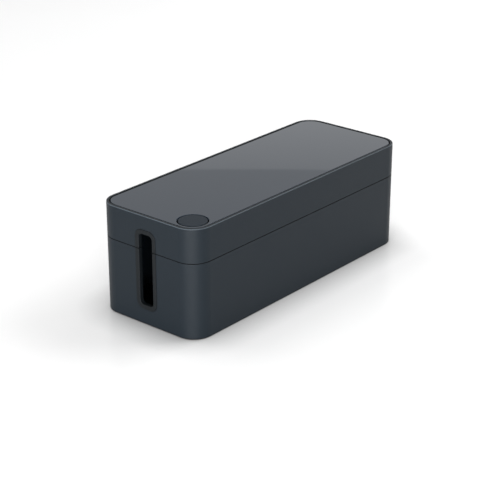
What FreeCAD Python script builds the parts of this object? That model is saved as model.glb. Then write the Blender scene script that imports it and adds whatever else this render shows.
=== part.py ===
import FreeCAD, Part
import math
import os

# Cable management box: a long plastic tub with a lift-off lid. The lid carries an inlaid
# glossy panel and, in one corner, a round push button that draws back a latch bolt.
# All sizes are in millimetres. X runs along the box, Y across it, Z up from the surface
# that it stands on. The button is in the corner towards -X and -Y.

os.makedirs("parts", exist_ok=True)
Vector = FreeCAD.Vector

# Casing as a whole
length = 407.0
width = 155.5
corner_radius = 26.0
tub_height = 96.8
lid_height = 42.6
wall = 2.8
edge_radius = 1.0
overrun = 2.0

# Tub
floor_thickness = 2.6
cavity_edge_radius = 3.0
gusset_count = 4
gusset_pitch = 84.0
gusset_thickness = 1.6
gusset_height = 14.0
gusset_reach = 4.0
floor_rib_count = 3
floor_rib_pitch = 100.0
floor_rib_thickness = 2.0
floor_rib_height = 1.2
floor_rib_end_gap = 22.0

# Feet
foot_radius = 8.0
foot_proud = 0.8
foot_recess = 1.0
foot_side_gap = 0.25
foot_inset = 31.0
foot_edge_radius = 0.4

# Seam between tub and lid
reveal_height = 1.0
reveal_depth = 1.0
lip_height = 3.0
lip_thickness = 1.2
lip_side_gap = 0.3
lip_end_gap = 0.4

# Cable outlet in each end wall: its low end above the underside of the tub, its rise above the seam
outlet_half_width = 10.5
outlet_low = 25.2
outlet_rise = 19.2
outlet_corner_radius = 5.0
lip_stop_margin = 1.6

# Trim round each outlet: a channel that grips the wall, one half in the tub and one in the lid
trim_margin = 5.4
trim_corner_radius = 10.0
trim_face_thickness = 1.2
trim_proud = 0.5
trim_edge_radius = 0.4
trim_mouth_radius = 0.9
trim_sleeve_thickness = 1.6
trim_sleeve_depth = 5.0
trim_lip_width = 1.2
trim_lip_thickness = 1.2
trim_side_gap = 0.15

# Lid
rim_width = 3.4
deck_thickness = 2.4
deck_rib_thickness = 1.6
deck_rib_height = 6.0
deck_rib_count = 5
deck_rib_pitch = 62.0
deck_rib_centre = 15.0
long_rib_offset = 26.0
snap_width = 12.0
snap_offset = 34.0
snap_thickness = 1.8
snap_gap = 0.3
snap_reach = 9.0
snap_root_height = 12.0
bead_height = 2.0
bead_depth = 0.7
bead_rise = 1.6
bead_gap = 0.4

# Top panel and its adhesive
panel_drop = 0.25
panel_thickness = 2.6
panel_gap = 1.8
panel_edge_radius = 0.4
adhesive_thickness = 0.3
adhesive_inset = 3.0
adhesive_width = 15.0

# Button
button_inset = 27.0
button_radius = 17.2
button_side_gap = 0.3
button_ring_gap = 1.9
button_travel = 3.5
cap_proud = 0.2
cap_thickness = 2.2
cap_skirt_thickness = 1.6
cap_skirt_height = 9.6
cap_edge_radius = 0.6
boss_radius = 4.2
well_ledge = 0.5
well_wall = 1.8
well_depth = 11.0
well_floor_thickness = 2.0
well_guide_count = 4
well_guide_thickness = 1.6
well_guide_height = 8.0
stem_side_gap = 0.5
stem_top_gap = 1.0
flange_radius = 7.5
flange_thickness = 1.5
flange_gap = 0.2
adhesive_hole_gap = 2.5

# Wedge under the button and the latch bolt that it pushes inwards
wedge_height = 8.0
wedge_width = 14.0
wedge_back = 6.0
wedge_front = 5.0
ramp_gap = 0.15
bolt_height = 6.0
bolt_width = 20.0
bolt_drop = 0.6
bolt_head = 14.2
bolt_tail = 16.0
bolt_slide_gap = 0.2
bolt_side_gap = 0.3
window_side_gap = 0.5
nose_width = 10.0
nose_length = 6.7
nose_bevel = 3.0
guide_rib_thickness = 1.6
guide_rib_inset = 0.4
guide_rib_length = 30.0

# Latch housing
housing_floor = 2.0
housing_wall = 1.6
spring_bay = 12.3
ear_radius = 4.2
ear_thickness = 2.4
ear_offset_y = 16.0
ear_front = 12.0
ear_rear = 24.0

# Springs
button_wire = 0.9
button_coil_radius = 7.2
button_spring_turns = 5
latch_wire = 0.6
latch_coil_radius = 2.2
latch_spring_turns = 8
spring_end_gap = 0.15
spigot_radius = 1.5
spigot_length = 3.2

# Screws
screw_radius = 1.25
screw_side_gap = 0.05
screw_head_radius = 2.7
screw_head_height = 1.9
screw_recess_width = 0.7
screw_recess_depth = 1.1
screw_end_gap = 0.5
screw_head_gap = 0.4
boss_wall = 2.3
housing_screw_grip = 9.0
stem_screw_grip = 12.0
striker_screw_grip = 6.0

# Striker bracket on the tub
striker_pad_depth = 5.0
striker_pad_height = 18.0
striker_pad_drop = 1.0
striker_thickness = 1.5
striker_side = 3.8
striker_corner_radius = 2.0
striker_top = 3.6
striker_window_gap = 0.5
striker_screw_pitch = 9.0

# Heights that follow from the sizes above
tub_bottom = foot_proud
floor_top = tub_bottom + floor_thickness
seam = tub_bottom + tub_height
rim_top = seam + lid_height
panel_top = rim_top - panel_drop
panel_bottom = panel_top - panel_thickness
deck_top = panel_bottom - adhesive_thickness
deck_bottom = deck_top - deck_thickness
lip_top = seam + lip_height
outlet_bottom = tub_bottom + outlet_low
outlet_top = seam + outlet_rise
well_floor_bottom = deck_bottom - well_depth
well_floor_top = well_floor_bottom + well_floor_thickness
cap_top = panel_top + cap_proud
cap_underside = cap_top - cap_thickness
flange_top = well_floor_bottom - flange_gap
flange_bottom = flange_top - flange_thickness
wedge_bottom = flange_bottom - wedge_height
stem_top = well_floor_top + stem_top_gap
bolt_top = flange_bottom - button_travel - bolt_drop
bolt_bottom = bolt_top - bolt_height
housing_top = bolt_top + bolt_slide_gap
housing_floor_top = bolt_bottom - bolt_slide_gap
housing_bottom = housing_floor_top - housing_floor

# Places that follow from the sizes above
half_length = length / 2
half_width = width / 2
inner_end = half_length - wall
inner_side = half_width - wall
button_x = button_inset - half_length
button_y = button_inset - half_width
panel_hole_radius = button_radius + button_ring_gap
well_radius = panel_hole_radius - well_ledge
well_guide_radius = button_radius + button_side_gap
lip_outer = wall - lip_thickness
lip_stop = outlet_half_width + trim_margin + lip_stop_margin
bolt_shoulder = button_x - bolt_head
bolt_end = button_x + bolt_tail
nose_tip = bolt_shoulder - nose_length
nose_low = button_y
nose_high = button_y + nose_width
housing_front = bolt_shoulder - bolt_slide_gap - housing_wall
housing_rear = bolt_end + spring_bay + housing_wall
housing_half = bolt_width / 2 + bolt_side_gap + housing_wall
striker_seat = -inner_end + striker_pad_depth
striker_low_y = nose_low - striker_side
striker_high_y = nose_high + striker_side
striker_pad_top = seam - striker_pad_drop
striker_pad_bottom = striker_pad_top - striker_pad_height
striker_high = bolt_top + striker_window_gap + striker_top
boss_outer_radius = screw_radius + boss_wall


def rounded_wire(low_u, high_u, low_v, high_v, radius, place):
    """Outline of a rectangle with round corners; place turns (u, v) into a point."""
    inset = radius * (1 - math.sqrt(0.5))

    def line(first, second):
        return Part.LineSegment(place(*first), place(*second)).toShape()

    def arc(first, middle, last):
        return Part.Arc(place(*first), place(*middle), place(*last)).toShape()

    edges = [
        line((low_u + radius, low_v), (high_u - radius, low_v)),
        arc((high_u - radius, low_v), (high_u - inset, low_v + inset), (high_u, low_v + radius)),
        line((high_u, low_v + radius), (high_u, high_v - radius)),
        arc((high_u, high_v - radius), (high_u - inset, high_v - inset), (high_u - radius, high_v)),
        line((high_u - radius, high_v), (low_u + radius, high_v)),
        arc((low_u + radius, high_v), (low_u + inset, high_v - inset), (low_u, high_v - radius)),
        line((low_u, high_v - radius), (low_u, low_v + radius)),
        arc((low_u, low_v + radius), (low_u + inset, low_v + inset), (low_u + radius, low_v)),
    ]
    return Part.Wire(edges)


def block(low_x, high_x, low_y, high_y, low_z, high_z):
    corner = Vector(low_x, low_y, low_z)
    return Part.makeBox(high_x - low_x, high_y - low_y, high_z - low_z, corner)


def post(radius, x, y, low_z, high_z):
    return Part.makeCylinder(radius, high_z - low_z, Vector(x, y, low_z))


def case_block(inset, low_z, high_z):
    """The casing's outline, drawn in by inset on every side, as a prism."""
    outline = rounded_wire(
        inset - half_length,
        half_length - inset,
        inset - half_width,
        half_width - inset,
        corner_radius - inset,
        lambda u, v: Vector(u, v, low_z),
    )
    return Part.Face(outline).extrude(Vector(0, 0, high_z - low_z))


def case_ring(outer_inset, inner_inset, low_z, high_z):
    return case_block(outer_inset, low_z, high_z).cut(case_block(inner_inset, low_z, high_z))


def end_outline(margin, radius, x):
    """Outline at the -X end wall, grown from the outlet's own by a margin."""
    return rounded_wire(
        -outlet_half_width - margin,
        outlet_half_width + margin,
        outlet_bottom - margin,
        outlet_top + margin,
        radius,
        lambda u, v: Vector(x, u, v),
    )


def end_prism(margin, radius, low_x, high_x):
    face = Part.Face(end_outline(margin, radius, low_x))
    return face.extrude(Vector(high_x - low_x, 0, 0))


def both_ends(shape):
    """The shape at the -X end and its mirror image at the +X end."""
    return [shape, shape.mirror(Vector(0, 0, 0), Vector(1, 0, 0))]


def level_edges(shape, z):
    """Edges that lie wholly at height z."""
    tolerance = edge_radius / 1000
    return [
        edge
        for edge in shape.Edges
        if abs(edge.BoundBox.ZMin - z) < tolerance and abs(edge.BoundBox.ZMax - z) < tolerance
    ]


def outline_edges(shape, outline):
    """Edges that lie within the bounds of a flat outline."""
    border = outline.BoundBox
    border.enlarge(edge_radius / 1000)
    return [edge for edge in shape.Edges if border.isInside(edge.BoundBox)]


def fused(shapes):
    return shapes[0].multiFuse(shapes[1:]).removeSplitter()


def outlet_cuts():
    """The shallow seat for each trim's face, and the hole for its sleeve."""
    seat = end_prism(
        trim_margin + trim_side_gap,
        trim_corner_radius + trim_side_gap,
        -half_length - overrun,
        -half_length - trim_proud + trim_face_thickness,
    )
    hole = end_prism(
        trim_sleeve_thickness + trim_side_gap,
        outlet_corner_radius + trim_sleeve_thickness + trim_side_gap,
        -half_length - overrun,
        -inner_end + overrun,
    )
    return both_ends(seat) + both_ends(hole)


def outlet_trims(low_z, high_z):
    """The part between two heights of both trims: face outside, sleeve, and lip inside the wall."""
    front = -half_length - trim_proud
    face = end_prism(trim_margin, trim_corner_radius, front, front + trim_face_thickness)
    border = end_outline(trim_margin, trim_corner_radius, front)
    face = face.makeFillet(trim_edge_radius, outline_edges(face, border))
    sleeve = end_prism(
        trim_sleeve_thickness,
        outlet_corner_radius + trim_sleeve_thickness,
        front + trim_face_thickness / 2,
        -half_length + trim_sleeve_depth,
    )
    lip_margin = trim_sleeve_thickness + trim_lip_width
    lip_front = -inner_end + trim_side_gap
    lip = end_prism(
        lip_margin, outlet_corner_radius + lip_margin, lip_front, lip_front + trim_lip_thickness
    )
    mouth = end_prism(
        0, outlet_corner_radius, front - overrun, -half_length + trim_sleeve_depth + overrun
    )
    trim = fused([face, sleeve, lip]).cut(mouth)
    edges = outline_edges(trim, end_outline(0, outlet_corner_radius, front))
    trim = trim.makeFillet(trim_mouth_radius, edges)
    span = block(front - overrun, 0, -half_width, half_width, low_z, high_z)
    return both_ends(trim.common(span))


def lip_stops(low_z, high_z, half):
    """Blocks over the end walls where the lip stops beside the outlets' trims."""
    stop = block(
        -half_length - overrun,
        -inner_end + overrun,
        -half,
        half,
        low_z - overrun,
        high_z + overrun,
    )
    return both_ends(stop)


def foot_places():
    x = half_length - foot_inset
    y = half_width - foot_inset
    return {
        "foot_front_left": (-x, -y),
        "foot_front_right": (x, -y),
        "foot_rear_left": (-x, y),
        "foot_rear_right": (x, y),
    }


def striker_screw_heights():
    middle = (striker_pad_bottom + striker_pad_top) / 2
    return [middle - striker_screw_pitch / 2, middle + striker_screw_pitch / 2]


def striker_middle():
    return (striker_low_y + striker_high_y) / 2


def gussets():
    """Triangular stiffeners between the floor and the long walls."""
    shapes = []
    for number in range(gusset_count):
        x = (number - (gusset_count - 1) / 2) * gusset_pitch - gusset_thickness / 2
        root = inner_side + wall / 2
        low = floor_top - floor_thickness / 2
        corners = [
            Vector(x, root, low),
            Vector(x, inner_side - gusset_reach, low),
            Vector(x, inner_side - gusset_reach, floor_top),
            Vector(x, inner_side, floor_top + gusset_height),
            Vector(x, root, floor_top + gusset_height),
        ]
        outline = Part.makePolygon(corners + corners[:1])
        rib = Part.Face(outline).extrude(Vector(gusset_thickness, 0, 0))
        shapes += [rib, rib.mirror(Vector(0, 0, 0), Vector(0, 1, 0))]
    return shapes


def floor_ribs():
    """Low cross ribs that the power strip lies on."""
    half = half_width - floor_rib_end_gap
    shapes = []
    for number in range(floor_rib_count):
        middle = (number - (floor_rib_count - 1) / 2) * floor_rib_pitch
        low = middle - floor_rib_thickness / 2
        high = middle + floor_rib_thickness / 2
        top = floor_top + floor_rib_height
        shapes.append(block(low, high, -half, half, floor_top - floor_thickness / 2, top))
    return shapes


def bead_low():
    return seam - snap_reach + bead_rise


def bead_pocket():
    """Groove in the tub's +X end wall that a snap bead sits in."""
    low_z = bead_low() - bead_gap
    high_z = bead_low() + bead_height + bead_gap
    half = snap_width / 2 + bead_gap
    reach = inner_end - snap_gap + bead_depth + bead_gap
    groove = block(
        inner_end - overrun,
        reach,
        snap_offset - half,
        snap_offset + half,
        low_z,
        high_z,
    )
    return [groove, groove.mirror(Vector(0, 0, 0), Vector(0, 1, 0))]


def base_tub():
    outside = case_block(0, tub_bottom, seam)
    outside = outside.makeFillet(edge_radius, level_edges(outside, tub_bottom))
    inside = case_block(wall, floor_top, seam + overrun)
    inside = inside.makeFillet(cavity_edge_radius, level_edges(inside, floor_top))
    shell = outside.cut(inside)
    lip = case_ring(lip_outer, wall, seam - lip_height, lip_top)
    for stop in lip_stops(seam, lip_top, lip_stop):
        lip = lip.cut(stop)
    pad = block(
        -half_length + wall / 2,
        striker_seat,
        striker_low_y,
        striker_high_y,
        striker_pad_bottom,
        striker_pad_top,
    )
    body = fused([shell, lip, pad] + gussets() + floor_ribs())
    cuts = outlet_cuts() + bead_pocket() + [case_ring(0, reveal_depth, seam - reveal_height, seam)]
    for x, y in foot_places().values():
        cuts.append(post(foot_radius, x, y, tub_bottom - overrun, tub_bottom + foot_recess))
    for z in striker_screw_heights():
        depth = striker_screw_grip - striker_thickness + screw_end_gap
        start = Vector(striker_seat - depth, striker_middle(), z)
        radius = screw_radius + screw_side_gap
        cuts.append(Part.makeCylinder(radius, depth + overrun, start, Vector(1, 0, 0)))
    return body.cut(cuts)


def rubber_foot(x, y):
    foot = post(foot_radius - foot_side_gap, x, y, 0, tub_bottom + foot_recess)
    return foot.makeFillet(foot_edge_radius, level_edges(foot, 0))


def striker_bracket():
    """Steel strip on the tub's end wall that stands up into the lid; the nose enters its window."""
    outline = rounded_wire(
        striker_low_y,
        striker_high_y,
        striker_pad_bottom,
        striker_high,
        striker_corner_radius,
        lambda u, v: Vector(striker_seat, u, v),
    )
    strip = Part.Face(outline).extrude(Vector(striker_thickness, 0, 0))
    window = block(
        striker_seat - overrun,
        striker_seat + striker_thickness + overrun,
        nose_low - striker_window_gap,
        nose_high + striker_window_gap,
        bolt_bottom - striker_window_gap,
        bolt_top + striker_window_gap,
    )
    cuts = [window]
    for z in striker_screw_heights():
        start = Vector(striker_seat - overrun, striker_middle(), z)
        radius = screw_radius + screw_side_gap
        depth = striker_thickness + 2 * overrun
        cuts.append(Part.makeCylinder(radius, depth, start, Vector(1, 0, 0)))
    return strip.cut(cuts)


def screw(grip, seat, axis):
    """Pan-head screw with a cross recess. Seat is under its head, axis points out of the head."""
    shank = Part.makeCylinder(screw_radius, grip, Vector(0, 0, -grip))
    point = Part.makeCone(screw_radius / 2, screw_radius, screw_radius, Vector(0, 0, -grip))
    tip = Part.makeCylinder(screw_radius, screw_radius, Vector(0, 0, -grip)).cut(point)
    head = Part.makeCylinder(screw_head_radius, screw_head_height)
    head = head.makeFillet(screw_head_height / 2, level_edges(head, screw_head_height))
    bar = Part.makeBox(
        2 * screw_radius,
        screw_recess_width,
        screw_recess_depth + overrun,
        Vector(-screw_radius, -screw_recess_width / 2, screw_head_height - screw_recess_depth),
    )
    cross = bar.copy()
    cross.rotate(Vector(0, 0, 0), Vector(0, 0, 1), 90)
    shape = fused([shank, head]).cut([tip, bar, cross])
    turn = FreeCAD.Rotation(Vector(0, 0, 1), axis)
    shape.Placement = FreeCAD.Placement(seat, turn)
    return shape


def striker_screws():
    seat_x = striker_seat + striker_thickness
    return [
        screw(striker_screw_grip, Vector(seat_x, striker_middle(), z), Vector(1, 0, 0))
        for z in striker_screw_heights()
    ]


def housing_screw_places():
    return [
        (button_x + along, button_y + across)
        for along in (-ear_front, ear_rear)
        for across in (-ear_offset_y, ear_offset_y)
    ]


def deck_ribs():
    """Lengthwise and crosswise stiffeners under the deck."""
    low_z = deck_bottom - deck_rib_height
    high_z = deck_bottom + deck_thickness / 2
    first = deck_rib_centre - (deck_rib_count - 1) / 2 * deck_rib_pitch
    shapes = []
    for number in range(deck_rib_count):
        middle = first + number * deck_rib_pitch
        low = middle - deck_rib_thickness / 2
        high = middle + deck_rib_thickness / 2
        side = half_width - wall / 2
        shapes.append(block(low, high, -side, side, low_z, high_z))
    for side in (-long_rib_offset, long_rib_offset):
        low = side - deck_rib_thickness / 2
        high = side + deck_rib_thickness / 2
        shapes.append(block(first, half_length - wall / 2, low, high, low_z, high_z))
    return shapes


def snap_tongues():
    """Two sprung tongues at the lid's +X end, with beads that click into the tub's wall."""
    outer = inner_end - snap_gap
    low_y = snap_offset - snap_width / 2
    high_y = snap_offset + snap_width / 2
    root_low = lip_top + lip_end_gap
    tongue = block(
        outer - snap_thickness,
        outer,
        low_y,
        high_y,
        seam - snap_reach,
        root_low + snap_root_height,
    )
    root = block(
        outer - snap_thickness,
        half_length - wall / 2,
        low_y,
        high_y,
        root_low,
        root_low + snap_root_height,
    )
    bottom = bead_low()
    corners = [
        Vector(outer - snap_thickness / 2, low_y, bottom),
        Vector(outer, low_y, bottom),
        Vector(outer + bead_depth, low_y, bottom + bead_height / 2),
        Vector(outer, low_y, bottom + bead_height),
        Vector(outer - snap_thickness / 2, low_y, bottom + bead_height),
    ]
    bead = Part.Face(Part.makePolygon(corners + corners[:1])).extrude(Vector(0, snap_width, 0))
    single = fused([tongue, root, bead])
    return [single, single.mirror(Vector(0, 0, 0), Vector(0, 1, 0))]


def well_guides():
    """Upright ribs in the well that the cap's skirt slides along."""
    reach = well_radius + well_wall / 2
    low_z = well_floor_top - well_floor_thickness / 2
    guides = []
    for number in range(well_guide_count):
        guide = block(
            well_guide_radius,
            reach,
            -well_guide_thickness / 2,
            well_guide_thickness / 2,
            low_z,
            well_floor_top + well_guide_height,
        )
        guide.rotate(Vector(0, 0, 0), Vector(0, 0, 1), number * 360 / well_guide_count)
        guide.translate(Vector(button_x, button_y, 0))
        guides.append(guide)
    return guides


def lid_shell():
    outside = case_block(0, seam, rim_top)
    outside = outside.makeFillet(edge_radius, level_edges(outside, rim_top))
    inside = case_block(wall, seam - overrun, deck_bottom)
    inside = inside.makeFillet(cavity_edge_radius, level_edges(inside, deck_bottom))
    rabbet = case_block(lip_outer - lip_side_gap, seam - overrun, lip_top + lip_end_gap)
    for stop in lip_stops(seam, lip_top, lip_stop - lip_side_gap):
        rabbet = rabbet.cut(stop)
    pocket = case_block(rim_width, deck_top, rim_top + overrun)
    shell = outside.cut([inside, rabbet, pocket])
    well = post(
        well_radius + well_wall, button_x, button_y, well_floor_bottom, deck_bottom + deck_thickness / 2
    )
    bosses = [
        post(boss_outer_radius, x, y, housing_top, deck_bottom + deck_thickness / 2)
        for x, y in housing_screw_places()
    ]
    guides = []
    for side in (-1, 1):
        middle = button_y + side * (bolt_width / 2 - guide_rib_inset - guide_rib_thickness / 2)
        guides.append(
            block(
                button_x - guide_rib_length / 2,
                button_x + guide_rib_length / 2,
                middle - guide_rib_thickness / 2,
                middle + guide_rib_thickness / 2,
                housing_top,
                well_floor_bottom + well_floor_thickness / 2,
            )
        )
    body = fused([shell, well] + bosses + guides + deck_ribs() + snap_tongues())
    cuts = outlet_cuts()
    cuts.append(post(well_radius, button_x, button_y, well_floor_top, rim_top))
    stem_hole = boss_radius + stem_side_gap
    cuts.append(post(stem_hole, button_x, button_y, well_floor_bottom - overrun, rim_top))
    for x, y in housing_screw_places():
        depth = housing_screw_grip - ear_thickness + screw_end_gap
        radius = screw_radius + screw_side_gap
        cuts.append(post(radius, x, y, housing_top - overrun, housing_top + depth))
    return fused([body.cut(cuts)] + well_guides())


def top_panel():
    panel = case_block(rim_width + panel_gap, panel_bottom, panel_top)
    hole = post(panel_hole_radius, button_x, button_y, panel_bottom - overrun, panel_top + overrun)
    panel = panel.cut(hole)
    return panel.makeFillet(panel_edge_radius, level_edges(panel, panel_top))


def panel_adhesive():
    outer = rim_width + panel_gap + adhesive_inset
    ring = case_ring(outer, outer + adhesive_width, deck_top, panel_bottom)
    radius = well_radius + adhesive_hole_gap
    return ring.cut(post(radius, button_x, button_y, deck_top - overrun, panel_bottom + overrun))


def button_cap():
    skirt_bottom = cap_top - cap_skirt_height
    cap = post(button_radius, button_x, button_y, skirt_bottom, cap_top)
    cap = cap.makeFillet(cap_edge_radius, level_edges(cap, cap_top))
    inner = button_radius - cap_skirt_thickness
    hollow = post(inner, button_x, button_y, skirt_bottom - overrun, cap_underside)
    boss = post(boss_radius, button_x, button_y, stem_top, cap_underside + cap_thickness / 2)
    bore_top = screw_seat() + stem_screw_grip + screw_end_gap
    bore = post(screw_radius + screw_side_gap, button_x, button_y, stem_top - overrun, bore_top)
    return fused([cap.cut(hollow), boss]).cut(bore)


def screw_seat():
    """Height of the shoulder in the plunger that the screw's head pulls against.

    It is high enough for the whole head to stay behind the wedge's sloping face."""
    head_low = flange_bottom - wedge_front + screw_head_radius + screw_head_gap
    return head_low + screw_head_height


def button_plunger():
    """Stem through the well's floor, stop flange, and the wedge that moves the bolt."""
    stem = post(boss_radius, button_x, button_y, flange_bottom, stem_top)
    flange = post(flange_radius, button_x, button_y, flange_bottom, flange_top)
    low_y = button_y - wedge_width / 2
    top = flange_bottom + flange_thickness / 2
    front_foot = button_x + wedge_front - wedge_height
    corners = [
        Vector(button_x - wedge_back, low_y, top),
        Vector(button_x - wedge_back, low_y, wedge_bottom),
        Vector(front_foot, low_y, wedge_bottom),
        Vector(button_x + wedge_front, low_y, flange_bottom),
        Vector(button_x + wedge_front, low_y, top),
    ]
    wedge = Part.Face(Part.makePolygon(corners + corners[:1])).extrude(Vector(0, wedge_width, 0))
    seat = screw_seat()
    bore = post(screw_radius + screw_side_gap, button_x, button_y, seat - overrun, stem_top + overrun)
    recess = post(
        screw_head_radius + screw_head_gap, button_x, button_y, wedge_bottom - overrun, seat
    )
    return fused([stem, flange, wedge]).cut([bore, recess])


def plunger_screw():
    return screw(stem_screw_grip, Vector(button_x, button_y, screw_seat()), Vector(0, 0, -1))


def latch_bolt():
    """Flat bolt: nose outwards, a window with a 45 degree ramp, and a spigot for its spring."""
    half = bolt_width / 2
    bar = block(bolt_shoulder, bolt_end, button_y - half, button_y + half, bolt_bottom, bolt_top)
    nose_root = bolt_shoulder + (bolt_head - wedge_back) / 4
    corners = [
        Vector(nose_root, nose_low, bolt_bottom),
        Vector(nose_tip + nose_bevel, nose_low, bolt_bottom),
        Vector(nose_tip, nose_low, bolt_bottom + nose_bevel),
        Vector(nose_tip, nose_low, bolt_top),
        Vector(nose_root, nose_low, bolt_top),
    ]
    nose = Part.Face(Part.makePolygon(corners + corners[:1])).extrude(Vector(0, nose_width, 0))
    spigot = Part.makeCylinder(
        spigot_radius,
        spigot_length,
        Vector(bolt_end, button_y, (bolt_bottom + bolt_top) / 2),
        Vector(1, 0, 0),
    )
    window_low = button_x - wedge_back - button_travel - window_side_gap
    window_half = wedge_width / 2 + window_side_gap

    def ramp_x(z):
        return button_x + wedge_front + ramp_gap + z - flange_bottom

    low_z = bolt_bottom - overrun
    high_z = bolt_top + overrun
    corners = [
        Vector(window_low, button_y - window_half, low_z),
        Vector(ramp_x(low_z), button_y - window_half, low_z),
        Vector(ramp_x(high_z), button_y - window_half, high_z),
        Vector(window_low, button_y - window_half, high_z),
    ]
    window = Part.Face(Part.makePolygon(corners + corners[:1])).extrude(Vector(0, 2 * window_half, 0))
    return fused([bar, nose, spigot]).cut(window)


def latch_housing():
    """Tray screwed up under the lid; the bolt slides along its floor."""
    tray = block(
        housing_front,
        housing_rear,
        button_y - housing_half,
        button_y + housing_half,
        housing_bottom,
        housing_top,
    )
    inner_half = housing_half - housing_wall
    hollow = block(
        housing_front + housing_wall,
        housing_rear - housing_wall,
        button_y - inner_half,
        button_y + inner_half,
        housing_floor_top,
        housing_top + overrun,
    )
    nose_slot = block(
        housing_front - overrun,
        housing_front + housing_wall + overrun,
        nose_low - bolt_side_gap,
        nose_high + bolt_side_gap,
        housing_floor_top,
        housing_top + overrun,
    )
    clearance = wedge_width / 2 + window_side_gap
    wedge_window = block(
        button_x - wedge_back - window_side_gap,
        button_x + wedge_front + window_side_gap,
        button_y - clearance,
        button_y + clearance,
        housing_bottom - overrun,
        housing_floor_top + overrun,
    )
    ears = []
    for x, y in housing_screw_places():
        low_y = min(y, button_y)
        high_y = max(y, button_y)
        ears.append(post(ear_radius, x, y, housing_top - ear_thickness, housing_top))
        ears.append(
            block(x - ear_radius, x + ear_radius, low_y, high_y, housing_top - ear_thickness, housing_top)
        )
    spigot = Part.makeCylinder(
        spigot_radius,
        spigot_length,
        Vector(housing_rear - housing_wall, button_y, (bolt_bottom + bolt_top) / 2),
        Vector(-1, 0, 0),
    )
    body = fused([tray] + ears).cut([hollow, nose_slot, wedge_window])
    holes = [
        post(screw_radius + screw_side_gap, x, y, housing_bottom - overrun, housing_top + overrun)
        for x, y in housing_screw_places()
    ]
    return fused([body, spigot]).cut(holes)


def housing_screws():
    seat_z = housing_top - ear_thickness
    return [
        screw(housing_screw_grip, Vector(x, y, seat_z), Vector(0, 0, -1))
        for x, y in housing_screw_places()
    ]


def coil_spring(coil_radius, wire, turns, free_length, start, axis):
    """Helical compression spring between two seats that are free_length apart."""
    span = free_length - wire - 2 * spring_end_gap
    helix = Part.makeHelix(span / turns, span, coil_radius)
    circle = Part.makeCircle(wire / 2, Vector(coil_radius, 0, 0), Vector(0, 1, 0))
    coil = Part.Wire(helix.Edges).makePipeShell([Part.Wire([circle])], True, True)
    coil.translate(Vector(0, 0, wire / 2 + spring_end_gap))
    turn = FreeCAD.Rotation(Vector(0, 0, 1), axis)
    coil.Placement = FreeCAD.Placement(start, turn).multiply(coil.Placement)
    return coil


def button_spring():
    start = Vector(button_x, button_y, well_floor_top)
    reach = cap_underside - well_floor_top
    return coil_spring(
        button_coil_radius, button_wire, button_spring_turns, reach, start, Vector(0, 0, 1)
    )


def latch_spring():
    start = Vector(bolt_end, button_y, (bolt_bottom + bolt_top) / 2)
    return coil_spring(
        latch_coil_radius, latch_wire, latch_spring_turns, spring_bay, start, Vector(1, 0, 0)
    )


def save(name, shape):
    solids = shape if isinstance(shape, list) else shape.Solids
    model = Part.makeCompound(solids) if len(solids) > 1 else solids[0]
    model.exportStep("parts/" + name + ".step")
    volume = sum(solid.Volume for solid in solids)
    valid = all(solid.isValid() for solid in solids)
    print(name, len(solids), "solids", round(volume), "mm3", "valid" if valid else "NOT VALID")


pieces = {
    "base_tub": base_tub(),
    "striker_bracket": striker_bracket(),
    "striker_screws": striker_screws(),
    "lid_shell": lid_shell(),
    "top_panel": top_panel(),
    "panel_adhesive": panel_adhesive(),
    "latch_housing": latch_housing(),
    "housing_screws": housing_screws(),
    "button_cap": button_cap(),
    "button_plunger": button_plunger(),
    "plunger_screw": plunger_screw(),
    "button_spring": button_spring(),
    "latch_bolt": latch_bolt(),
    "latch_spring": latch_spring(),
}
for foot_name, (foot_x, foot_y) in foot_places().items():
    pieces[foot_name] = rubber_foot(foot_x, foot_y)
pieces["trim_left_tub"], pieces["trim_right_tub"] = outlet_trims(tub_bottom, seam - reveal_height)
pieces["trim_left_lid"], pieces["trim_right_lid"] = outlet_trims(seam, rim_top)

for piece_name, piece in pieces.items():
    save(piece_name, piece)
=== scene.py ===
# Cable management box on a white floor: materials, springs, floor, surroundings, lamps and camera

import math

import bpy
from mathutils import Matrix, Vector


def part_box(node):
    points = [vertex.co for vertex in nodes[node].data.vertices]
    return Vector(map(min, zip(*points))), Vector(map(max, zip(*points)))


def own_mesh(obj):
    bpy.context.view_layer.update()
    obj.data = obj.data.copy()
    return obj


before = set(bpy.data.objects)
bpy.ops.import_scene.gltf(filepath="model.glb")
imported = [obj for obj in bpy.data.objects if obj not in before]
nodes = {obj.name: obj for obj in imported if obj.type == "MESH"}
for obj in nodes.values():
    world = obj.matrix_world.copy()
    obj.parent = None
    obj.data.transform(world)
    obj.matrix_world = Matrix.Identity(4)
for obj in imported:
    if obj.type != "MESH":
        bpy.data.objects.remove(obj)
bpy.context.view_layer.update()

# Camera, in metres and degrees, found by fitting the box's outline in the 480 pixel frame
camera_azimuth = -49.767
camera_elevation = 23.167
camera_roll = -0.094
camera_distance = 1.86342
camera_focal_px = 1465.83
frame_px = 480
sensor_width = 36.0
aim_height = 0.0708
aim_right = -0.021064
aim_up = -0.024793

# Lamps: name, azimuth from +X towards +Y, elevation, distance, width, height and power,
# in degrees, metres and watts
lamps = (
    ("key", 210, 7, 2.2, 1.9, 0.5, 80),
    ("right", -29, 43, 2.5, 1.6, 1.2, 30),
    ("back", 94, 56, 2.5, 1.6, 1.2, 15),
    ("rim", 10, 8, 2.4, 0.8, 0.5, 12),
)

# Colours as the surfaces show them, red, green and blue from 0 to 255
casing_colour = (19, 26, 32)
# Painted highlight: the lighter colour along the casing's rounded upper edges
casing_highlight_colour = (72, 80, 87)
panel_colour = (18, 37, 54)
button_colour = (32, 40, 48)
trim_colour = (11, 15, 18)
inner_colour = (38, 40, 42)
steel_colour = (196, 197, 200)
rubber_colour = (34, 34, 35)
tape_colour = (26, 26, 27)
floor_colour = (252, 252, 252)

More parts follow.
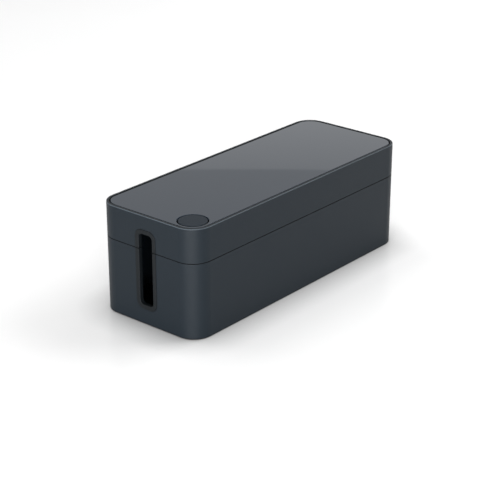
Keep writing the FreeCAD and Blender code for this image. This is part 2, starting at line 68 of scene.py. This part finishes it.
# Shares of each colour where its noise is lowest and highest
casing_colour_shares = (0.985, 1.015)
panel_colour_shares = (0.99, 1.01)
button_colour_shares = (0.98, 1)
trim_colour_shares = (0.96, 1)
inner_colour_shares = (0.95, 1)
steel_colour_shares = (0.86, 1)
rubber_colour_shares = (0.85, 1)
tape_colour_shares = (0.8, 1)
floor_colour_shares = (0.995, 1)

# Roughness where the noise is lowest and highest, or one value
casing_roughness = (0.45, 0.51)
groove_roughness = 0.95
panel_roughness = (0.012, 0.022)
panel_edge_roughness = 0.6
button_roughness = (0.68, 0.78)
trim_roughness = (0.52, 0.6)
inner_roughness = (0.34, 0.46)
steel_roughness = (0.26, 0.42)
rubber_roughness = (0.72, 0.88)
tape_roughness = (0.8, 0.95)
floor_roughness = 0.25

# How strongly the surfaces mirror
casing_ior = 1.46
panel_ior = 1.55
casing_specular = 0.2
button_specular = 0.2
trim_specular = 0.18
floor_specular = 0.35

# Noise: size of its features, in metres, and its detail
casing_grain = (0.00045, 2)
casing_cloud = (0.09, 3)
panel_ripple = (0.06, 1)
panel_speck = (0.0009, 2)
steel_brush = (0.0006, 3)
rubber_grain = (0.0008, 4)
floor_cloud = (0.5, 2)

# Scale of the steel's noise on each axis, which draws its grain out along Z
steel_stretch = (1, 1, 0.08)

# Depth of the bumps, in metres
moulded_bump = 0.00002
panel_bump = 0.000004
inner_bump = 0.00001
steel_bump = 0.000008
rubber_bump = 0.00004
tape_bump = 0.00003

# Noise values between which a colour goes from its first share to its second
noise_range = (0.3, 0.7)

# Grooves, with painted shade: how near, in metres, other surfaces darken a place's colour and dull its
# gloss, and how strongly
groove_shade_reach = 0.002
groove_shade_power = 5.0

# Upward part of the normal where the painted edge highlight starts, is full, starts to fade and ends
highlight_edge_leans = (0.1, 0.4, 0.85, 0.98)

# Upward part of the normal between which a face goes from sloping to level
level_leans = (0.9, 0.99)

# How far below the lid's top the painted edge highlight reaches, in metres
highlight_edge_height = 0.0015

# Floor: how far it reaches, how far the object's shade spreads and how much it lifts to white,
# near the object and, for the camera alone, out where the lamps' light falls off
floor_reach = 6.0
floor_shade_reach = 0.05
floor_shade_power = 0.85
floor_lift = 0.14
far_floor_start = 1.6
far_floor_end = 4.5
far_floor_lift = 0.6

# World: a white wall that dims towards its top and a darker room above it, as heights of a ray,
# and the share of their light that falls on the object
wall_white_top = 0.32
wall_top = 0.3486
wall_light = 1.0
wall_top_light = 0.88
room_light = 0.7
room_even_top = 0.45
zenith_light = 0.81
world_share = 0.36

black = (0, 0, 0, 1)
white = (1, 1, 1, 1)

# Places of the colour sockets on a Mix node
mix_first_colour = 6
mix_second_colour = 7
mix_colour_result = 2


def linear(value):
    """One channel of a colour from 0 to 255, as light, by the sRGB curve."""
    share = value / 255
    if share <= 0.04045:
        return share / 12.92
    return ((share + 0.055) / 1.055) ** 2.4


def rgba(colour, share=1):
    """A share of a colour, as light, with full cover."""
    return tuple(linear(value * share) for value in colour) + (1.0,)


class Nodes:
    """An emptied node tree, with short ways to add and join nodes."""

    def __init__(self, tree):
        self.tree = tree
        self.tree.nodes.clear()

    def add(self, kind):
        return self.tree.nodes.new(kind)

    def join(self, source, target):
        self.tree.links.new(source, target)

    def put(self, value, target):
        """Gives an input a number, or joins it to an output."""
        if isinstance(value, (int, float)):
            target.default_value = value
        else:
            self.join(value, target)

    def math(self, operation, first, second):
        """One operation on two values, each an output or a number."""
        node = self.add("ShaderNodeMath")
        node.operation = operation
        self.put(first, node.inputs[0])
        self.put(second, node.inputs[1])
        return node.outputs["Value"]

    def map_range(self, source, low, high, first, last):
        """Maps source, from low to high, to first to last."""
        node = self.add("ShaderNodeMapRange")
        node.inputs["From Min"].default_value = low
        node.inputs["From Max"].default_value = high
        node.inputs["To Min"].default_value = first
        node.inputs["To Max"].default_value = last
        self.join(source, node.inputs["Value"])
        return node.outputs["Result"]

    def spread(self, noise, values):
        """Maps noise, from 0 to 1, to the first value to the second."""
        return self.map_range(noise, 0, 1, *values)

    def choose(self, mask, where_one, where_zero):
        """One value where the mask is 1, and the other where it is 0."""
        node = self.add("ShaderNodeMix")
        self.join(mask, node.inputs["Factor"])
        self.put(where_zero, node.inputs["A"])
        self.put(where_one, node.inputs["B"])
        return node.outputs["Result"]

    def upward(self, output):
        """The upward part of one output of the Texture Coordinate node."""
        split = self.add("ShaderNodeSeparateXYZ")
        self.join(self.add("ShaderNodeTexCoord").outputs[output], split.inputs["Vector"])
        return split.outputs["Z"]

    def camera_rays(self):
        """1 for rays from the camera, 0 for the rest."""
        return self.add("ShaderNodeLightPath").outputs["Is Camera Ray"]

    def seen_rays(self):
        """1 for rays from the camera, direct, mirrored or through glass, 0 for the rest."""
        path = self.add("ShaderNodeLightPath").outputs
        seen = self.math("MAXIMUM", path["Is Camera Ray"], path["Is Glossy Ray"])
        return self.math("MAXIMUM", seen, path["Is Transmission Ray"])


class Material(Nodes):
    """A material with one Principled shader."""

    def __init__(self, name):
        self.material = bpy.data.materials.new(name)
        self.material.use_nodes = True
        super().__init__(self.material.node_tree)
        self.shader = self.add("ShaderNodeBsdfPrincipled")
        output = self.add("ShaderNodeOutputMaterial")
        self.join(self.shader.outputs["BSDF"], output.inputs["Surface"])
        self.place = self.add("ShaderNodeTexCoord").outputs["Object"]

    def constant(self, name, value):
        self.shader.inputs[name].default_value = value

    def drive(self, name, source):
        self.join(source, self.shader.inputs[name])

    def noise(self, size, detail, stretch=None):
        """Noise whose features are about size metres across."""
        texture = self.add("ShaderNodeTexNoise")
        texture.inputs["Scale"].default_value = 1 / size
        texture.inputs["Detail"].default_value = detail
        source = self.place
        if stretch is not None:
            mapping = self.add("ShaderNodeMapping")
            mapping.inputs["Scale"].default_value = stretch
            self.join(source, mapping.inputs["Vector"])
            source = mapping.outputs["Vector"]
        self.join(source, texture.inputs["Vector"])
        return texture.outputs["Fac"]

    def ramp(self, source, places, first, last):
        """Turns source, between two places, into a mix of two colours."""
        node = self.add("ShaderNodeValToRGB")
        for stop, place, colour in zip(node.color_ramp.elements, places, (first, last)):
            stop.position = place
            stop.color = colour
        self.join(source, node.inputs["Fac"])
        return node.outputs["Color"]

    def tinted(self, noise, colour, shares):
        """The colour times its first share to its second, as the noise rises."""
        first, second = shares
        return self.ramp(noise, noise_range, rgba(colour, first), rgba(colour, second))

    def level_faces(self):
        """1 on faces that look straight up, 0 elsewhere."""
        return self.ramp(self.upward("Normal"), level_leans, black, white)

    def highlighted_upper_edges(self, lowest):
        """1 on rounded upper edges above a height, where the painted highlight goes, 0 on upright and
        level faces and below.
        """
        node = self.add("ShaderNodeValToRGB")
        stops = node.color_ramp.elements
        stops[0].position = highlight_edge_leans[0]
        stops[1].position = highlight_edge_leans[3]
        stops[1].color = black
        for place in highlight_edge_leans[1:3]:
            stops.new(place).color = white
        self.join(self.upward("Normal"), node.inputs["Fac"])
        above = self.math("GREATER_THAN", self.upward("Object"), lowest)
        return self.math("MULTIPLY", node.outputs["Color"], above)

    def recoloured(self, colour, mask, other):
        """The colour, and another, fixed one where the mask is 1."""
        node = self.add("ShaderNodeMix")
        node.data_type = "RGBA"
        self.join(mask, node.inputs["Factor"])
        self.join(colour, node.inputs[mix_first_colour])
        node.inputs[mix_second_colour].default_value = rgba(other)
        return node.outputs[mix_colour_result]

    def openness(self, reach, power):
        """1 in the open, and less where other surfaces are within reach metres."""
        node = self.add("ShaderNodeAmbientOcclusion")
        node.inputs["Distance"].default_value = reach
        return self.math("POWER", node.outputs["AO"], power)

    def dimmed(self, colour, share):
        """The colour times a share from 0 to 1."""
        node = self.add("ShaderNodeVectorMath")
        node.operation = "SCALE"
        self.join(colour, node.inputs[0])
        self.join(share, node.inputs["Scale"])
        return node.outputs["Vector"]

    def bump(self, noise, depth):
        """Bumps of depth metres from noise of 0 to 1."""
        node = self.add("ShaderNodeBump")
        node.inputs["Distance"].default_value = depth
        self.join(noise, node.inputs["Height"])
        self.drive("Normal", node.outputs["Normal"])

    def grained(self, grain, colour, shares, roughness, depth):
        """Lets colour, roughness and bump follow one grain."""
        self.drive("Base Color", self.tinted(grain, colour, shares))
        self.drive("Roughness", self.spread(grain, roughness))
        self.bump(grain, depth)


def casing_material():
    """Spark-textured dark plastic: fine grain, and a faint cloudiness in colour and gloss, with painted
    shade in its grooves and a painted highlight on its rounded upper edges.
    """
    m = Material("casing_plastic")
    cloud = m.noise(*casing_cloud)
    # Painted shade: the colour darkens and the gloss dulls where other surfaces are near, in grooves
    # and seams
    openness = m.openness(groove_shade_reach, groove_shade_power)
    groove_shaded_colour = m.dimmed(m.tinted(cloud, casing_colour, casing_colour_shares), openness)
    # Painted highlight: a lighter colour on the lid's rounded upper edges
    highlight_mask = m.highlighted_upper_edges(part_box("lid_shell")[1][2] - highlight_edge_height)
    m.drive("Base Color", m.recoloured(groove_shaded_colour, highlight_mask, casing_highlight_colour))
    m.drive("Roughness", m.choose(openness, m.spread(cloud, casing_roughness), groove_roughness))
    m.bump(m.noise(*casing_grain), moulded_bump)
    m.constant("IOR", casing_ior)
    m.constant("Specular IOR Level", casing_specular)
    return m.material


def panel_material():
    """Glossy plastic sheet with dull edges: almost even, with a slow ripple and a few faint specks."""
    m = Material("panel_gloss")
    ripple = m.noise(*panel_ripple)
    speck = m.noise(*panel_speck)
    m.drive("Base Color", m.tinted(ripple, panel_colour, panel_colour_shares))
    gloss = m.spread(speck, panel_roughness)
    m.drive("Roughness", m.choose(m.level_faces(), gloss, panel_edge_roughness))
    m.bump(ripple, panel_bump)
    m.constant("IOR", panel_ior)
    return m.material


def button_material():
    """The same plastic as the casing, with a duller face."""
    m = Material("button_plastic")
    grain = m.noise(*casing_grain)
    m.grained(grain, button_colour, button_colour_shares, button_roughness, moulded_bump)
    m.constant("Specular IOR Level", button_specular)
    return m.material


def trim_material():
    """Plastic a little darker than the casing."""
    m = Material("trim_plastic")
    grain = m.noise(*casing_grain)
    m.grained(grain, trim_colour, trim_colour_shares, trim_roughness, moulded_bump)
    m.constant("Specular IOR Level", trim_specular)
    return m.material


def inner_material():
    """Smooth black plastic of the sliding pieces."""
    m = Material("inner_plastic")
    grain = m.noise(*casing_grain)
    m.grained(grain, inner_colour, inner_colour_shares, inner_roughness, inner_bump)
    return m.material


def steel_material():
    """Zinc-plated steel with a fine drawn grain."""
    m = Material("zinc_steel")
    brush = m.noise(*steel_brush, stretch=steel_stretch)
    m.grained(brush, steel_colour, steel_colour_shares, steel_roughness, steel_bump)
    m.constant("Metallic", 1.0)
    return m.material


def rubber_material():
    """Dull black rubber of the feet."""
    m = Material("foot_rubber")
    grain = m.noise(*rubber_grain)
    m.grained(grain, rubber_colour, rubber_colour_shares, rubber_roughness, rubber_bump)
    return m.material


def tape_material():
    """Black foam tape under the panel."""
    m = Material("adhesive_tape")
    grain = m.noise(*rubber_grain)
    m.grained(grain, tape_colour, tape_colour_shares, tape_roughness, tape_bump)
    return m.material


def dress(material, *names):
    """Gives the nodes their material."""
    for name in names:
        for slot in nodes[name].material_slots:
            slot.material = material


def dress_nodes():
    dress(casing_material(), "base_tub", "lid_shell")
    dress(button_material(), "button_cap")
    dress(trim_material(), "trim_left_tub", "trim_left_lid", "trim_right_tub", "trim_right_lid")
    dress(panel_material(), "top_panel")
    dress(tape_material(), "panel_adhesive")
    dress(inner_material(), "latch_housing", "button_plunger", "latch_bolt")
    steel = steel_material()
    dress(steel, "striker_bracket", "striker_screws", "housing_screws", "plunger_screw")
    dress(steel, "button_spring", "latch_spring")
    rubber = rubber_material()
    dress(rubber, "foot_front_left", "foot_front_right", "foot_rear_left", "foot_rear_right")


def squeeze_spring(name, axis):
    """Gives the spring its own copy of its mesh."""
    axis = Vector(axis)
    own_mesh(nodes[name])


def squeeze_springs():
    squeeze_spring("button_spring", (0, 0, 1))
    squeeze_spring("latch_spring", (1, 0, 0))


def floor_material():
    """White with painted shade that darkens it near the object, and lifts to full white where it is
    seen.
    """
    m = Material("floor_white")
    openness = m.openness(floor_shade_reach, floor_shade_power)
    plain = m.tinted(m.noise(*floor_cloud), floor_colour, floor_colour_shares)
    # Painted shade: the floor's colour and its lift to white both dim near the object
    m.drive("Base Color", m.dimmed(plain, openness))
    near_lift = m.math("MULTIPLY", m.math("MULTIPLY", m.seen_rays(), openness), floor_lift)
    distance = m.add("ShaderNodeVectorMath")
    distance.operation = "LENGTH"
    m.join(m.place, distance.inputs[0])
    far = m.map_range(distance.outputs["Value"], far_floor_start, far_floor_end, 0, far_floor_lift)
    far_lift = m.math("MULTIPLY", m.camera_rays(), far)
    m.drive("Emission Strength", m.math("ADD", near_lift, far_lift))
    m.constant("Emission Color", white)
    m.constant("Roughness", floor_roughness)
    m.constant("Specular IOR Level", floor_specular)
    return m.material


def add_floor():
    mesh = bpy.data.meshes.new("floor")
    r = floor_reach
    mesh.from_pydata([(-r, -r, 0), (r, -r, 0), (r, r, 0), (-r, r, 0)], [], [(0, 1, 2, 3)])
    mesh.materials.append(floor_material())
    floor = bpy.data.objects.new("floor", mesh)
    bpy.context.collection.objects.link(floor)


def add_world():
    """A white wall all round, up to a line, and a darker room above it."""
    world = bpy.data.worlds.new("studio")
    bpy.context.scene.world = world
    world.use_nodes = True
    sky = Nodes(world.node_tree)
    background = sky.add("ShaderNodeBackground")
    output = sky.add("ShaderNodeOutputWorld")
    sky.join(background.outputs["Background"], output.inputs["Surface"])
    height = sky.upward("Generated")
    wall = sky.map_range(height, wall_white_top, wall_top, wall_light, wall_top_light)
    room = sky.map_range(height, room_even_top, 1, room_light, zenith_light)
    above = sky.math("GREATER_THAN", height, wall_top)
    sky.join(sky.choose(above, room, wall), background.inputs["Color"])
    sky.join(sky.spread(sky.seen_rays(), (world_share, 1)), background.inputs["Strength"])


def add_lamp(name, azimuth, elevation, distance, width, height, power):
    """A soft box that faces the object."""
    data = bpy.data.lights.new(name, "AREA")
    data.shape = "RECTANGLE"
    data.size = width
    data.size_y = height
    data.energy = power
    lamp = bpy.data.objects.new(name, data)
    bpy.context.collection.objects.link(lamp)
    turn = math.radians(azimuth)
    rise = math.radians(elevation)
    towards = Vector((math.cos(turn) * math.cos(rise), math.sin(turn) * math.cos(rise), math.sin(rise)))
    lamp.location = Vector((0, 0, aim_height)) + distance * towards
    lamp.rotation_euler = (-towards).to_track_quat("-Z", "Y").to_euler()
    lamp.visible_camera = False


def add_lamps():
    for lamp in lamps:
        add_lamp(*lamp)


def add_camera():
    """Camera at the fitted place: turned about the aim point, which lies off centre."""
    azimuth = math.radians(camera_azimuth)
    elevation = math.radians(camera_elevation)
    back = Vector(
        (
            math.sin(azimuth) * math.cos(elevation),
            -math.cos(azimuth) * math.cos(elevation),
            math.sin(elevation),
        )
    )
    right = Vector((0, 0, 1)).cross(back).normalized()
    up = back.cross(right)
    turn = math.radians(camera_roll)
    rolled_right = math.cos(turn) * right + math.sin(turn) * up
    rolled_up = math.cos(turn) * up - math.sin(turn) * right
    aim = Vector((0, 0, aim_height)) + aim_right * rolled_right + aim_up * rolled_up
    place = aim + camera_distance * back
    data = bpy.data.cameras.new("camera")
    data.sensor_width = sensor_width
    data.lens = camera_focal_px / frame_px * sensor_width
    camera = bpy.data.objects.new("camera", data)
    bpy.context.collection.objects.link(camera)
    axes = Matrix((rolled_right, rolled_up, back)).transposed()
    camera.matrix_world = Matrix.Translation(place) @ axes.to_4x4()
    bpy.context.scene.camera = camera


bpy.context.scene.view_settings.view_transform = "Standard"
dress_nodes()
squeeze_springs()
add_floor()
add_world()
add_lamps()
add_camera()
